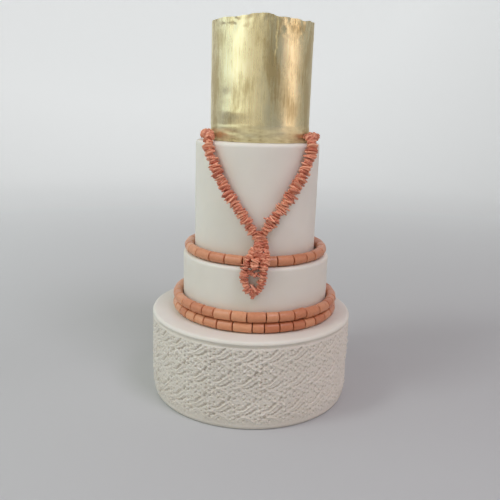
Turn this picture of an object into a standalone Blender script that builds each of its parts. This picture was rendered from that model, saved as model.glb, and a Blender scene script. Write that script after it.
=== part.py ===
# A four-tier wedding cake: three tiers in white fondant, the lowest one with an embossed lace side,
# under a slim gold tier, dressed with strands of coral tube beads and a necklace of coral chips.
# Metres, +Z up. The origin is the centre of the lowest tier's base, and the cake's front faces -Y.
# Angles are in degrees round a tier's axis: 0 at the front, positive to the right.
import math
import random

import bmesh
import bpy
from mathutils import Vector

GAP = 0.0003  # clearance between pieces that touch

# Tiers, from the lowest up. A shift is how far right of the lowest tier's axis a tier sits.
TIER_1_RADIUS, TIER_1_HEIGHT, TIER_1_SHIFT = 0.1270, 0.1080, 0.0000
TIER_2_RADIUS, TIER_2_HEIGHT, TIER_2_SHIFT = 0.0918, 0.0740, 0.0040
TIER_3_RADIUS, TIER_3_HEIGHT, TIER_3_SHIFT = 0.0756, 0.1370, 0.0020
TIER_4_RADIUS, TIER_4_HEIGHT, TIER_4_SHIFT = 0.0600, 0.1330, 0.0040
FOOT_CHAMFER = 0.0010    # the small bevel where a tier's side meets its base
SHOULDER_STEPS = 3       # flat bands that make up a rounded shoulder
TIER_1_SHOULDER = 0.0050
TIER_2_SHOULDER = 0.0040
TIER_3_SHOULDER = 0.0040

# The lace on tier 1: a lattice of low raised motifs, every second point of the side's grid.
LACE_COLUMNS = 27
LACE_ROWS = 6
LACE_RELIEF = 0.0008

# The gold tier's wrap: its upper edge is uneven, and the top inside it is slightly domed.
RIM_WIDTH = 0.0022
RIM_DEPTH = 0.0006
TOP_DOME = 0.0020
WRAP_ROWS = 7
WRAP_WAVE = 0.0006       # how far the wrap's side wanders in and out
OVERLAP_ANGLE = 16.0     # where the wrap's end laps over its start
OVERLAP_STEP = 0.0009
RIM_BUMPS = ((-2.0, 14.0, 0.0046), (36.0, 20.0, 0.0012), (105.0, 22.0, 0.0026),
             (178.0, 18.0, 0.0036), (-100.0, 24.0, 0.0020))  # angle, half width, height

# Tube bead strands. Each lists where its first front bead starts, and the front beads' lengths.
BEAD_RADIUS = 0.0061
BEAD_SHORTEST, BEAD_LONGEST = 0.0135, 0.0220
JOINT_HALF = 0.0007      # half of the groove between two beads
JOINT_SCALE = 0.80       # the strand's thickness in the groove
UPPER_STRAND_RADIUS, UPPER_STRAND_SHIFT = 0.0835, 0.0030
LOWER_STRAND_RADIUS, LOWER_STRAND_SHIFT = 0.0985, 0.0040
UPPER_FRONT = (-51.8, (0.0222, 0.0197, 0.0208, 0.0192, 0.0191, 0.0197, 0.0182))
MIDDLE_FRONT = (-35.5, (0.0155, 0.0211, 0.0176, 0.0215, 0.0142, 0.0185, 0.0155))
LOWER_FRONT = (-51.5, (0.0163, 0.0138, 0.0176, 0.0185, 0.0219, 0.0133, 0.0172, 0.0163, 0.0155))

# The chip necklace: it lies on tier 3's ledge round the gold tier, comes over the shoulder, hangs in
# a V on tier 3, and ends in a loop that drops over the upper strand onto tier 2's side.
CHIP_RADIUS = 0.0058     # the strand's half thickness over the chips
CHIP_PITCH = 0.0046
CHIP_HOLLOW = 0.84       # the strand's thickness between two crowns of chips
SLACK = 0.0008           # how far the necklace stays off what it lies on
MEET_ANGLE, MEET_HEIGHT = 3.6, 0.2170
ARM_SPREAD = 43.5        # how far round each arm reaches at the shoulder
ARM_BOW = 1.24           # 1 is a straight arm, more bows it outwards
ARM_TOP = 0.3120
SHOULDER_TURN = 9.0      # how far round the strand moves while it crosses the shoulder
SHOULDER_REACH = 0.0120  # how far in it moves meanwhile
KNOT_RADIUS, KNOT_TOP, KNOT_BOTTOM = 0.0064, 0.2230, 0.1830
LOOP_RADIUS = 0.0052
LOOP_HALF_WIDTH, LOOP_HALF_HEIGHT = 0.0106, 0.0239
LOOP_MIDDLE = 0.1790
LOOP_TOP_SHIFT, LOOP_TIP_SHIFT = 0.0078, 0.0030  # the loop leans: its middle line, top and tip
DRAPE_TOP, DRAPE_BOTTOM = 0.2160, 0.1860         # heights between which it leans out to tier 2

ROUND_STEPS = 40         # flats round tiers 2 and 3
SHARP_ANGLE = 40.0
MERGE = 1e-6


def material(name, colour, roughness, metallic=0.0):
    finish = bpy.data.materials.new(name)
    finish.use_nodes = True
    shader = finish.node_tree.nodes["Principled BSDF"]
    shader.inputs["Base Color"].default_value = (*colour, 1.0)
    shader.inputs["Roughness"].default_value = roughness
    shader.inputs["Metallic"].default_value = metallic
    return finish


def add_object(name, data, finish):
    data.materials.clear()
    data.materials.append(finish)
    piece = bpy.data.objects.new(name, data)
    bpy.context.scene.collection.objects.link(piece)
    return piece


def smooth(mesh):
    mesh.shade_smooth()
    mesh.set_sharp_from_angle(angle=math.radians(SHARP_ANGLE))


# ---- tiers ----

def round_the_axis(radius, angle, height, shift=0.0):
    turn = math.radians(angle)
    return Vector((shift + radius * math.sin(turn), -radius * math.cos(turn), height))


def turned(outline, steps, shape=None):
    # Spins a (radius, height) outline that starts and ends on the axis. shape(angle, radius, height)
    # then returns each point's new radius and height.
    bm = bmesh.new()
    points = [bm.verts.new((0.0, -radius, height)) for radius, height in outline]
    edges = [bm.edges.new(pair) for pair in zip(points, points[1:])]
    bmesh.ops.spin(bm, geom=points + edges, cent=(0, 0, 0), axis=(0, 0, 1), angle=math.tau, steps=steps)
    bmesh.ops.remove_doubles(bm, verts=bm.verts, dist=MERGE)
    bmesh.ops.recalc_face_normals(bm, faces=bm.faces)
    for point in bm.verts:
        radius = math.hypot(point.co.x, point.co.y)
        if shape and radius > MERGE:
            angle = math.degrees(math.atan2(point.co.x, -point.co.y))
            radius, height = shape(angle, radius, point.co.z)
            point.co = round_the_axis(radius, angle, height)
    mesh = bpy.data.meshes.new("turned")
    bm.to_mesh(mesh)
    bm.free()
    smooth(mesh)
    return mesh


def side_rows(radius, low, high, rows):
    return [(radius, low + (high - low) * row / rows) for row in range(rows + 1)]


def fondant_outline(radius, height, shoulder, rows):
    foot = [(0.0, 0.0), (radius - FOOT_CHAMFER, 0.0)]
    side = side_rows(radius, FOOT_CHAMFER, height - shoulder, rows)
    turns = [math.pi / 2 * step / SHOULDER_STEPS for step in range(1, SHOULDER_STEPS + 1)]
    rounded = [(radius - shoulder + shoulder * math.cos(turn), height - shoulder + shoulder * math.sin(turn))
               for turn in turns]
    return foot + side + rounded + [(0.0, height)]


def lace(angle, radius, height):
    # Sinks every second point of the side's grid, so that the others stand as a diamond lattice.
    span = TIER_1_HEIGHT - TIER_1_SHOULDER - FOOT_CHAMFER
    row = (height - FOOT_CHAMFER) / span * LACE_ROWS
    column = angle / 360.0 * 2 * LACE_COLUMNS
    on_side = 0.5 < row < LACE_ROWS - 0.5 and radius > TIER_1_RADIUS - MERGE
    sunk = on_side and (round(row) + round(column)) % 2
    return radius - (LACE_RELIEF if sunk else 0.0), height


def angle_between(angle, other):
    return (angle - other + 180.0) % 360.0 - 180.0


def gold_outline():
    rim = [(TIER_4_RADIUS - RIM_WIDTH, TIER_4_HEIGHT),
           (TIER_4_RADIUS - RIM_WIDTH, TIER_4_HEIGHT - RIM_DEPTH)]
    foot = [(0.0, 0.0), (TIER_4_RADIUS - FOOT_CHAMFER, 0.0)]
    side = side_rows(TIER_4_RADIUS, FOOT_CHAMFER, TIER_4_HEIGHT, WRAP_ROWS)
    return foot + side + rim + [(TIER_4_RADIUS / 2, TIER_4_HEIGHT + TOP_DOME * 0.75),
                                (0.0, TIER_4_HEIGHT + TOP_DOME)]


def wrap(angle, radius, height):
    # The gold wrap's gentle waves, the step where it laps over itself, and its uneven upper edge.
    turn = math.radians(angle)
    rise = height / TIER_4_HEIGHT
    outer = radius > TIER_4_RADIUS - RIM_WIDTH + MERGE
    if outer and 0 < rise:
        wave = math.sin(3 * turn + 2.0 * rise) + 0.5 * math.sin(7 * turn - 3.0 * rise)
        past_overlap = angle_between(angle, OVERLAP_ANGLE)
        lap = OVERLAP_STEP * math.exp(-past_overlap / 12.0) if past_overlap > 0 else 0.0
        radius += WRAP_WAVE * wave / 1.5 * min(1.0, 4 * rise) + lap * rise - OVERLAP_STEP / 2 * rise
    if height > TIER_4_HEIGHT - MERGE and radius > TIER_4_RADIUS - 2 * RIM_WIDTH:
        for middle, half_width, bump in RIM_BUMPS:
            height += bump * math.exp(-(angle_between(angle, middle) / half_width) ** 2)
    return radius, height


def add_tiers(fondant, gold):
    # Each tier stands on the one below. Returns the height of every tier's top.
    stack = (
        ("tier_1_lace", TIER_1_HEIGHT, TIER_1_SHIFT, fondant,
         turned(fondant_outline(TIER_1_RADIUS, TIER_1_HEIGHT, TIER_1_SHOULDER, LACE_ROWS),
                2 * LACE_COLUMNS, lace)),
        ("tier_2", TIER_2_HEIGHT, TIER_2_SHIFT, fondant,
         turned(fondant_outline(TIER_2_RADIUS, TIER_2_HEIGHT, TIER_2_SHOULDER, 1), ROUND_STEPS)),
        ("tier_3", TIER_3_HEIGHT, TIER_3_SHIFT, fondant,
         turned(fondant_outline(TIER_3_RADIUS, TIER_3_HEIGHT, TIER_3_SHOULDER, 1), ROUND_STEPS)),
        ("tier_4_gold", TIER_4_HEIGHT, TIER_4_SHIFT, gold, turned(gold_outline(), ROUND_STEPS, wrap)),
    )
    tops = []
    base = 0.0
    for name, height, shift, finish, mesh in stack:
        tier = add_object(name, mesh, finish)
        tier.location = (shift, 0.0, base)
        tops.append(base + height)
        base += height + GAP
    return tops


# ---- strands of tube beads ----

def tube(name, points, scales, radius, closed, resolution):
    # A tube through the points, its thickness scaled at each of them.
    curve = bpy.data.curves.new(name, "CURVE")
    curve.dimensions = "3D"
    curve.bevel_depth = radius
    curve.bevel_resolution = resolution
    curve.use_fill_caps = not closed
    spline = curve.splines.new("POLY")
    spline.points.add(len(points) - 1)
    spline.use_cyclic_u = closed
    for knot, point, scale in zip(spline.points, points, scales):
        knot.co = (*point, 1.0)
        knot.radius = scale
    return curve


def bead_lengths(round_length, front, seed):
    # The front beads as they are, then random ones, stretched a little so that the strand closes.
    rng = random.Random(seed)
    left = round_length - sum(front)
    count = round(left / ((BEAD_SHORTEST + BEAD_LONGEST) / 2))
    rest = [rng.uniform(BEAD_SHORTEST, BEAD_LONGEST) for _ in range(count)]
    return list(front) + [length * left / sum(rest) for length in rest]


def add_bead_strand(name, radius, shift, height, front, seed, finish):
    start, front_lengths = front
    joint_angle = math.degrees(JOINT_HALF / radius)
    points, scales = [], []
    angle = start
    for length in bead_lengths(math.tau * radius, front_lengths, seed):
        following = angle + math.degrees(length / radius)
        for place, scale in ((angle, JOINT_SCALE), (angle + joint_angle, 1.0), (following - joint_angle, 1.0)):
            points.append(round_the_axis(radius, place, height, shift))
            scales.append(scale)
        angle = following
    return add_object(name, tube(name, points, scales, BEAD_RADIUS, True, 2), finish)


# ---- the chip necklace ----

def through(points, pitch, closed):
    # A smooth curve through the points, as evenly spaced points about a pitch apart.
    fine = []
    count = len(points)
    for i in range(count if closed else count - 1):
        before = points[i - 1] if closed or i else points[i]
        after = points[(i + 2) % count] if closed or i + 2 < count else points[i + 1]
        a, b = points[i], points[(i + 1) % count]
        for step in range(24):
            t = step / 24
            fine.append(0.5 * (2 * a + (b - before) * t + (2 * before - 5 * a + 4 * b - after) * t ** 2
                               + (3 * a - before - 3 * b + after) * t ** 3))
    fine.append(fine[0] if closed else points[-1])
    travelled = [0.0]
    for a, b in zip(fine, fine[1:]):
        travelled.append(travelled[-1] + (b - a).length)
    number = max(3, round(travelled[-1] / pitch))
    even, j = [], 0
    for i in range(number if closed else number + 1):
        target = travelled[-1] * i / number
        while j < len(fine) - 2 and travelled[j + 1] < target:
            j += 1
        part = (target - travelled[j]) / max(travelled[j + 1] - travelled[j], MERGE)
        even.append(fine[j].lerp(fine[j + 1], part))
    return even


def arm(side, ledge):
    # One side of the necklace, from the V's foot up the wall and over the shoulder to the ledge.
    wall = TIER_3_RADIUS + SLACK + CHIP_RADIUS
    points = []
    for climb in (0.16, 0.3, 0.45, 0.6, 0.75, 0.9, 1.0):
        angle = MEET_ANGLE + side * ARM_SPREAD * (1 - (1 - climb) ** ARM_BOW)
        height = MEET_HEIGHT + climb * (ARM_TOP - MEET_HEIGHT)
        points.append(round_the_axis(wall, angle, height, TIER_3_SHIFT))
    round_over = ledge - ARM_TOP
    for turn in (30, 60, 90):
        angle = MEET_ANGLE + side * (ARM_SPREAD + SHOULDER_TURN * turn / 90)
        radius = wall - SHOULDER_REACH * (1 - math.cos(math.radians(turn)))
        height = ARM_TOP + round_over * math.sin(math.radians(turn))
        points.append(round_the_axis(radius, angle, height, TIER_3_SHIFT))
    return points


def ledge_path(ledge):
    # Round the back of the gold tier, from the left shoulder to the right one.
    radius = TIER_4_RADIUS + WRAP_WAVE + SLACK + CHIP_RADIUS
    left = MEET_ANGLE - ARM_SPREAD - 3.2 * SHOULDER_TURN
    right = MEET_ANGLE + ARM_SPREAD + 3.2 * SHOULDER_TURN
    steps = 16
    sweep = 360.0 - (right - left)
    return [round_the_axis(radius, left - sweep * step / steps, ledge, TIER_4_SHIFT)
            for step in range(steps + 1)]


def drape_radius(height, half_thickness):
    # How far out the pendant hangs: on tier 3's wall, then over the strand of beads to tier 2's side.
    high = TIER_3_RADIUS + SLACK + half_thickness
    low = TIER_2_RADIUS + SLACK + half_thickness
    fall = min(1.0, max(0.0, (DRAPE_TOP - height) / (DRAPE_TOP - DRAPE_BOTTOM)))
    return high + (low - high) * (1 - math.cos(math.pi * fall)) / 2


def on_drape(sideways, height, half_thickness):
    axis = (TIER_2_SHIFT + TIER_3_SHIFT) / 2
    radius = drape_radius(height, half_thickness) + abs(TIER_2_SHIFT - TIER_3_SHIFT) / 2
    lean = (height - LOOP_MIDDLE) / (MEET_HEIGHT - LOOP_MIDDLE)
    middle = LOOP_TIP_SHIFT + (LOOP_TOP_SHIFT - LOOP_TIP_SHIFT) * min(1.0, max(0.0, lean))
    angle = math.degrees(math.asin((middle + sideways - axis) / radius))
    return round_the_axis(radius, angle, height, axis)


def loop_path():
    points = []
    for step in range(16):
        turn = math.tau * (step + 0.5) / 16
        height = LOOP_MIDDLE + LOOP_HALF_HEIGHT * math.sin(turn)
        points.append(on_drape(LOOP_HALF_WIDTH * math.cos(turn), height, LOOP_RADIUS))
    return points


def knot_path():
    steps = 5
    heights = [KNOT_TOP + (KNOT_BOTTOM - KNOT_TOP) * step / steps for step in range(steps + 1)]
    return [on_drape(0.0, height, KNOT_RADIUS) for height in heights]


def crowned(points, rng):
    # Thickness along a strand of chips: crowns and hollows in turn, no two quite alike.
    return [(1.0 if i % 2 else CHIP_HOLLOW) * rng.uniform(0.94, 1.0) for i in range(len(points))]


def chip_strand(name, route, radius, closed, rng):
    points = through(route, CHIP_PITCH, closed)
    guide = bpy.data.objects.new(name, tube(name, points, crowned(points, rng), radius, closed, 1))
    mesh = bpy.data.meshes.new_from_object(guide)
    bpy.data.objects.remove(guide)
    return mesh


def add_necklace(tier_3_top, finish):
    rng = random.Random(5)
    ledge = tier_3_top + SLACK + CHIP_RADIUS
    foot = round_the_axis(TIER_3_RADIUS + SLACK + CHIP_RADIUS, MEET_ANGLE, MEET_HEIGHT, TIER_3_SHIFT)
    route = [foot] + arm(-1, ledge) + ledge_path(ledge) + arm(1, ledge)[::-1]
    necklace = add_object("chip_necklace", chip_strand("necklace_v", route, CHIP_RADIUS, True, rng), finish)
    for name, path, radius, closed in (("knot", knot_path(), KNOT_RADIUS, False),
                                       ("loop", loop_path(), LOOP_RADIUS, True)):
        joined = add_object(name, chip_strand(name, path, radius, closed, rng), finish)
        joined.hide_render = True
        joined.display_type = "WIRE"
        union = necklace.modifiers.new(name, "BOOLEAN")
        union.operation = "UNION"
        union.object = joined
    smooth(necklace.data)
    return necklace


def main():
    for old in list(bpy.data.objects):
        bpy.data.objects.remove(old)
    fondant = material("white fondant", (0.74, 0.73, 0.69), 0.55)
    gold = material("brushed gold", (0.70, 0.57, 0.30), 0.34, 1.0)
    coral = material("coral beads", (0.66, 0.27, 0.14), 0.38)
    chips = material("coral chips", (0.58, 0.19, 0.10), 0.45)

    tops = add_tiers(fondant, gold)
    on_tier_2 = tops[1] + GAP + BEAD_RADIUS
    on_tier_1 = tops[0] + GAP + BEAD_RADIUS
    add_bead_strand("bead_strand_upper", UPPER_STRAND_RADIUS, UPPER_STRAND_SHIFT, on_tier_2,
                    UPPER_FRONT, 1, coral)
    add_bead_strand("bead_strand_middle", LOWER_STRAND_RADIUS, LOWER_STRAND_SHIFT,
                    on_tier_1 + 2 * BEAD_RADIUS + GAP, MIDDLE_FRONT, 2, coral)
    add_bead_strand("bead_strand_lower", LOWER_STRAND_RADIUS, LOWER_STRAND_SHIFT, on_tier_1,
                    LOWER_FRONT, 3, coral)
    add_necklace(tops[2], chips)


main()
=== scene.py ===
import random
from math import asin, atan2, ceil, copysign, cos, degrees, exp, pi, radians, sin, tau

import bpy
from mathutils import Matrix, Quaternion, Vector, noise


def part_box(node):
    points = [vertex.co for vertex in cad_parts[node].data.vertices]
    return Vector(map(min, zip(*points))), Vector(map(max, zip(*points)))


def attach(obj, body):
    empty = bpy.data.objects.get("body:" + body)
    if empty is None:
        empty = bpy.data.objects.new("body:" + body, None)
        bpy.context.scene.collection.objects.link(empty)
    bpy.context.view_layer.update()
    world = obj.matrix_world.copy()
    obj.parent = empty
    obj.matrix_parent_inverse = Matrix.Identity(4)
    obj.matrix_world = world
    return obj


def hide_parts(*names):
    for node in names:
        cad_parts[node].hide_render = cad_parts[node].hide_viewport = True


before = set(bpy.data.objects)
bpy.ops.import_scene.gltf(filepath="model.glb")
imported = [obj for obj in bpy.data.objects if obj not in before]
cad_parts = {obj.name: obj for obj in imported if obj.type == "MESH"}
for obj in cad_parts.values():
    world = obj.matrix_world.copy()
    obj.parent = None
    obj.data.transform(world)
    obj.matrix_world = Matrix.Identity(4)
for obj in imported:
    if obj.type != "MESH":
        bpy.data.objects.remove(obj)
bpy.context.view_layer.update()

tiny = 1e-5
mm = 0.001


# helpers

def objectMode():
    bpy.ops.object.mode_set(mode="OBJECT")


def alone(piece):
    if bpy.context.object and bpy.context.object.mode != "OBJECT":
        objectMode()
    bpy.ops.object.select_all(action="DESELECT")
    piece.select_set(True)
    bpy.context.view_layer.objects.active = piece


def pick(piece, kind, test):  # selects what passes the test, in edit mode
    alone(piece)
    bpy.ops.object.mode_set(mode="EDIT")
    bpy.ops.mesh.select_mode(type=kind)
    bpy.ops.mesh.select_all(action="DESELECT")
    objectMode()
    points = piece.data.vertices
    if kind == "VERT":
        for point in points:
            point.select = test(point.co)
    elif kind == "EDGE":
        for edge in piece.data.edges:
            edge.select = test(*(points[i].co for i in edge.vertices))
    else:
        for face in piece.data.polygons:
            face.select = test(face.center, face.normal)
    bpy.ops.object.mode_set(mode="EDIT")


def applyPlace(piece):
    alone(piece)
    bpy.ops.object.transform_apply(location=True, rotation=True, scale=True)


def applyModifiers(piece):
    alone(piece)
    for modifier in list(piece.modifiers):
        bpy.ops.object.modifier_apply(modifier=modifier.name)


def copyOf(piece, name):
    twin = piece.copy()
    twin.data = piece.data.copy()
    twin.name = name
    bpy.context.scene.collection.objects.link(twin)
    return twin


def scrap(piece):
    bpy.data.objects.remove(piece)


def joinAll(pieces, name):
    alone(pieces[0])
    for piece in pieces:
        piece.select_set(True)
    bpy.ops.object.join()
    joined = bpy.context.object
    joined.name = name
    applyPlace(joined)
    return joined


def anyFace(centre, normal):
    return True


def faceOutwards(piece):
    pick(piece, "FACE", anyFace)
    bpy.ops.mesh.normals_make_consistent(inside=False)
    objectMode()


def addCylinder(name, corners, radius, low, high, x=0.0):
    bpy.ops.mesh.primitive_cylinder_add(vertices=corners, radius=radius, depth=high - low,
                                        location=(x, 0, (low + high) / 2))
    cylinder = bpy.context.object
    cylinder.name = name
    applyPlace(cylinder)
    return cylinder


def bevelEdges(piece, test, width, steps):
    pick(piece, "EDGE", test)
    bpy.ops.mesh.bevel(offset=width, segments=steps, affect="EDGES")


def cutAcross(piece, height):
    pick(piece, "FACE", anyFace)
    bpy.ops.mesh.bisect(plane_co=(0, 0, height), plane_no=(0, 0, 1))


def extrudeUp(lift):  # this and the next two work on what is picked
    bpy.ops.mesh.extrude_region_move(TRANSFORM_OT_translate={"value": (0, 0, lift)})


def insetUp(width, lift):
    bpy.ops.mesh.inset(thickness=width)
    bpy.ops.transform.translate(value=(0, 0, lift))


def widen(scale):
    bpy.ops.transform.resize(value=(scale, scale, 1), center_override=(0, 0, 0))


def keepValues(piece, name, values):  # one for each point, read by the material
    attribute = piece.data.attributes.new(name, "FLOAT", "POINT")
    attribute.data.foreach_set("value", values)


def smoothShade(piece, angle):
    alone(piece)
    bpy.ops.object.shade_smooth_by_angle(angle=radians(angle))


def finish(piece, nodes, material, angle=40):
    smoothShade(piece, angle)
    piece.data.materials.clear()
    piece.data.materials.append(material)
    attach(piece, "root")
    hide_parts(*nodes)


def aroundAxis(radius, angle, height, x=0.0):  # angle in degrees, from the front to the right
    turn = radians(angle)
    return Vector((x + radius * sin(turn), -radius * cos(turn), height))


def angleOf(point, x=0.0):
    return degrees(atan2(point.x - x, -point.y))


def clamp(value):
    return min(1.0, max(0.0, value))


def ease(value, low, high):  # 0 below low, 1 above high, smooth between
    t = clamp((value - low) / (high - low))
    return t * t * (3 - 2 * t)


def noiseAt(place, height, across, up, shift=0.0):  # across and up say how fast it changes
    return noise.noise(Vector((place.x * across, place.y * across, height * up + shift)))


# camera

cameraLook = {
    "place": (0.0096, -0.7134, 0.3562),
    "down": 13.77,  # degrees below level
    "right": -1.05,  # degrees to the right of straight ahead
    "roll": 1.71,
    "lens": 41.3,
}


def addCamera(look):
    bpy.ops.object.camera_add(location=look["place"])
    camera = bpy.context.object
    down, right = radians(look["down"]), radians(look["right"])
    ahead = Vector((sin(right) * cos(down), cos(right) * cos(down), -sin(down)))
    level = ahead.to_track_quat("-Z", "Y")
    camera.rotation_euler = (level @ Quaternion((0, 0, 1), radians(look["roll"]))).to_euler()
    camera.data.lens = look["lens"]
    bpy.context.scene.camera = camera


addCamera(cameraLook)
print("camera set")


# materials

def setSockets(node, values):
    for name, value in values.items():
        node.inputs[name].default_value = value


def startMaterial(name, roughness, metallic=0.0):
    material = bpy.data.materials.new(name)
    material.use_nodes = True
    tree = material.node_tree
    shader = tree.nodes["Principled BSDF"]
    setSockets(shader, {"Roughness": roughness, "Metallic": metallic})
    return material, tree, shader


def objectCoords(tree, stretch=(1, 1, 1)):
    coords = tree.nodes.new("ShaderNodeTexCoord")
    mapping = tree.nodes.new("ShaderNodeMapping")
    mapping.inputs["Scale"].default_value = stretch
    tree.links.new(coords.outputs["Object"], mapping.inputs["Vector"])
    return mapping.outputs["Vector"]


def attributeOf(tree, name):
    node = tree.nodes.new("ShaderNodeAttribute")
    node.attribute_name = name
    return node.outputs["Fac"]


usualNoise = (0.3, 0.7)  # most of a noise pattern's values lie in this range


def noiseOf(tree, scale, detail, roughness=0.5, stretch=(1, 1, 1)):
    texture = tree.nodes.new("ShaderNodeTexNoise")
    setSockets(texture, {"Scale": scale, "Detail": detail, "Roughness": roughness})
    tree.links.new(objectCoords(tree, stretch), texture.inputs["Vector"])
    return texture.outputs["Fac"]


def timesPlus(tree, value, factor, added):  # value x factor + added
    node = tree.nodes.new("ShaderNodeMath")
    node.operation = "MULTIPLY_ADD"
    tree.links.new(value, node.inputs[0])
    node.inputs[1].default_value = factor
    tree.links.new(added, node.inputs[2])
    return node.outputs[0]


def rampOf(tree, value, places, *colours):
    ramp = tree.nodes.new("ShaderNodeValToRGB")
    line = ramp.color_ramp
    while len(line.elements) < len(places):
        line.elements.new(0.5)
    for element, place, colour in zip(line.elements, places, colours):
        element.position = place
        element.color = (*colour, 1.0)
    tree.links.new(value, ramp.inputs["Fac"])
    return ramp.outputs["Color"]


def rangeOf(tree, value, low, high, newLow=0.0, newHigh=1.0):
    node = tree.nodes.new("ShaderNodeMapRange")
    setSockets(node, {"From Min": low, "From Max": high, "To Min": newLow, "To Max": newHigh})
    tree.links.new(value, node.inputs["Value"])
    return node.outputs["Result"]


def bumpOf(tree, shader, height, distance, strength, under=None):
    bump = tree.nodes.new("ShaderNodeBump")
    setSockets(bump, {"Distance": distance, "Strength": strength})
    tree.links.new(height, bump.inputs["Height"])
    if under:
        tree.links.new(under, bump.inputs["Normal"])
    tree.links.new(bump.outputs["Normal"], shader.inputs["Normal"])
    return bump.outputs["Normal"]


# a pattern is scale, detail, roughness and stretch, and a bump is height and strength

fondantLook = {
    "white": (0.80, 0.775, 0.71),
    "cream": (0.745, 0.715, 0.65),
    "clouds": (14, 4),
    "cloudPlaces": (0.3, 0.65),  # cream below the first, white above the second
    "roughness": (0.42, 0.6),
    "smears": (30, 3, 0.5, (1, 1, 2.5)),
    "waves": (60, 2),
    "waveBump": (0.0003, 0.5),
    "grain": (900, 2),
    "grainBump": (0.00008, 0.5),
    "soak": 0.12,  # light that soaks into the paste, and how deep each colour goes
    "soakDepths": (0.004, 0.003, 0.002),
    "shine": 0.35,
    "print": (0.965, 0.945, 0.94),  # how much of the colour the embossed sheet keeps, a little darker than the plain fondant, and in its hollows, where it is painted shade
    "hollowShade": (0.66, 0.62, 0.585),
}


def fondantMaterial(name, look, hollowShaded=False):
    material, tree, shader = startMaterial(name, 0.5)
    colour = rampOf(tree, noiseOf(tree, *look["clouds"]), look["cloudPlaces"], look["cream"], look["white"])
    if hollowShaded:
        # painted shade: the sheet darker in its hollows, the deeper the darker
        keeps = rampOf(tree, attributeOf(tree, "hollowShade"), (0, 1), look["print"], look["hollowShade"])
        shade = tree.nodes.new("ShaderNodeMix")
        shade.data_type = "RGBA"
        shade.blend_type = "MULTIPLY"
        shade.inputs["Factor"].default_value = 1.0
        tree.links.new(colour, shade.inputs["A"])
        tree.links.new(keeps, shade.inputs["B"])
        colour = shade.outputs["Result"]
    tree.links.new(colour, shader.inputs["Base Color"])
    smear = noiseOf(tree, *look["smears"])
    tree.links.new(rangeOf(tree, smear, *usualNoise, *look["roughness"]), shader.inputs["Roughness"])
    setSockets(shader, {"Subsurface Weight": look["soak"], "Subsurface Radius": look["soakDepths"],
                        "Subsurface Scale": 1.0, "Specular IOR Level": look["shine"]})
    waves = bumpOf(tree, shader, noiseOf(tree, *look["waves"]), *look["waveBump"])
    bumpOf(tree, shader, noiseOf(tree, *look["grain"]), *look["grainBump"], waves)
    return material


goldLook = {
    "pale": (0.95, 0.88, 0.60),
    "mid": (0.82, 0.735, 0.46),
    "deep": (0.60, 0.49, 0.265),
    "colourPlaces": (0.1, 0.4, 0.9),  # of the deep, the mid and the pale colour
    "strokes": (650, 5, 0.75, (1, 1, 0.045)),
    "crinkles": (420, 4, 0.6, (0.25, 0.25, 1)),
    "patches": (45, 5, 0.6, (1, 1, 0.6)),
    "foot": (6 * mm, 26 * mm),  # from crinkles to brush strokes
    "strokeShare": 0.95,  # of the strokes, added to the patches
    "colourRange": (0.68, 1.23),  # of that sum, from deep to pale
    "shineRange": (0.73, 1.23),  # from dull to shiny
    "roughness": (0.34, 0.2),
    "footDull": 0.32,  # added at the foot, fading between these heights
    "footDullFade": (3 * mm, 20 * mm),
    "paintedShade": 0.65,  # how far the painted shade goes towards the deep colour
    "brushed": 0.85,
    "strokeBump": (0.00008, 1.0),
    "patchBump": (0.0005, 0.5),
}


def goldMaterial(name, look):
    material, tree, shader = startMaterial(name, 0.35, 1.0)
    axes = tree.nodes.new("ShaderNodeSeparateXYZ")
    tree.links.new(objectCoords(tree), axes.inputs[0])
    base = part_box("tier_4_gold")[0].z

    def byHeight(low, high, below, above):
        return rangeOf(tree, axes.outputs["Z"], base + low, base + high, below, above)
    marks = tree.nodes.new("ShaderNodeMix")
    tree.links.new(byHeight(*look["foot"], 0.0, 1.0), marks.inputs["Factor"])
    tree.links.new(noiseOf(tree, *look["crinkles"]), marks.inputs["A"])
    tree.links.new(noiseOf(tree, *look["strokes"]), marks.inputs["B"])
    patches = noiseOf(tree, *look["patches"])
    mix = timesPlus(tree, marks.outputs["Result"], look["strokeShare"], patches)
    bright = rangeOf(tree, mix, *look["colourRange"])
    # painted shade: darker, browner gold at the listed places
    bright = timesPlus(tree, attributeOf(tree, "paintedShade"), -look["paintedShade"], bright)
    colour = rampOf(tree, bright, look["colourPlaces"], look["deep"], look["mid"], look["pale"])
    tree.links.new(colour, shader.inputs["Base Color"])
    rough = rangeOf(tree, mix, *look["shineRange"], *look["roughness"])
    dull = timesPlus(tree, byHeight(*look["footDullFade"], 1.0, 0.0), look["footDull"], rough)
    tree.links.new(dull, shader.inputs["Roughness"])
    shader.inputs["Anisotropic"].default_value = look["brushed"]
    aroundTier = tree.nodes.new("ShaderNodeTangent")
    aroundTier.direction_type = "RADIAL"
    aroundTier.axis = "Z"
    tree.links.new(aroundTier.outputs["Tangent"], shader.inputs["Tangent"])
    coarse = bumpOf(tree, shader, patches, *look["patchBump"])
    bumpOf(tree, shader, marks.outputs["Result"], *look["strokeBump"], coarse)
    return material


coralBeadLook = {
    "light": (0.72, 0.345, 0.19),
    "dark": (0.53, 0.185, 0.09),
    "roughness": (0.27, 0.46),
    "veins": (260, 4, 0.6),
}

coralChipLook = {
    "light": (0.88, 0.42, 0.27),
    "dark": (0.56, 0.17, 0.105),
    "roughness": (0.35, 0.6),
    "veins": (420, 4, 0.6),
}

veinLook = {
    "share": 0.6,  # of the veins, added to a bead's or a chip's own tint
    "places": (0.25, 0.95),  # of the dark and the light colour
    "bump": (0.0002, 0.6),
}


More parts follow.
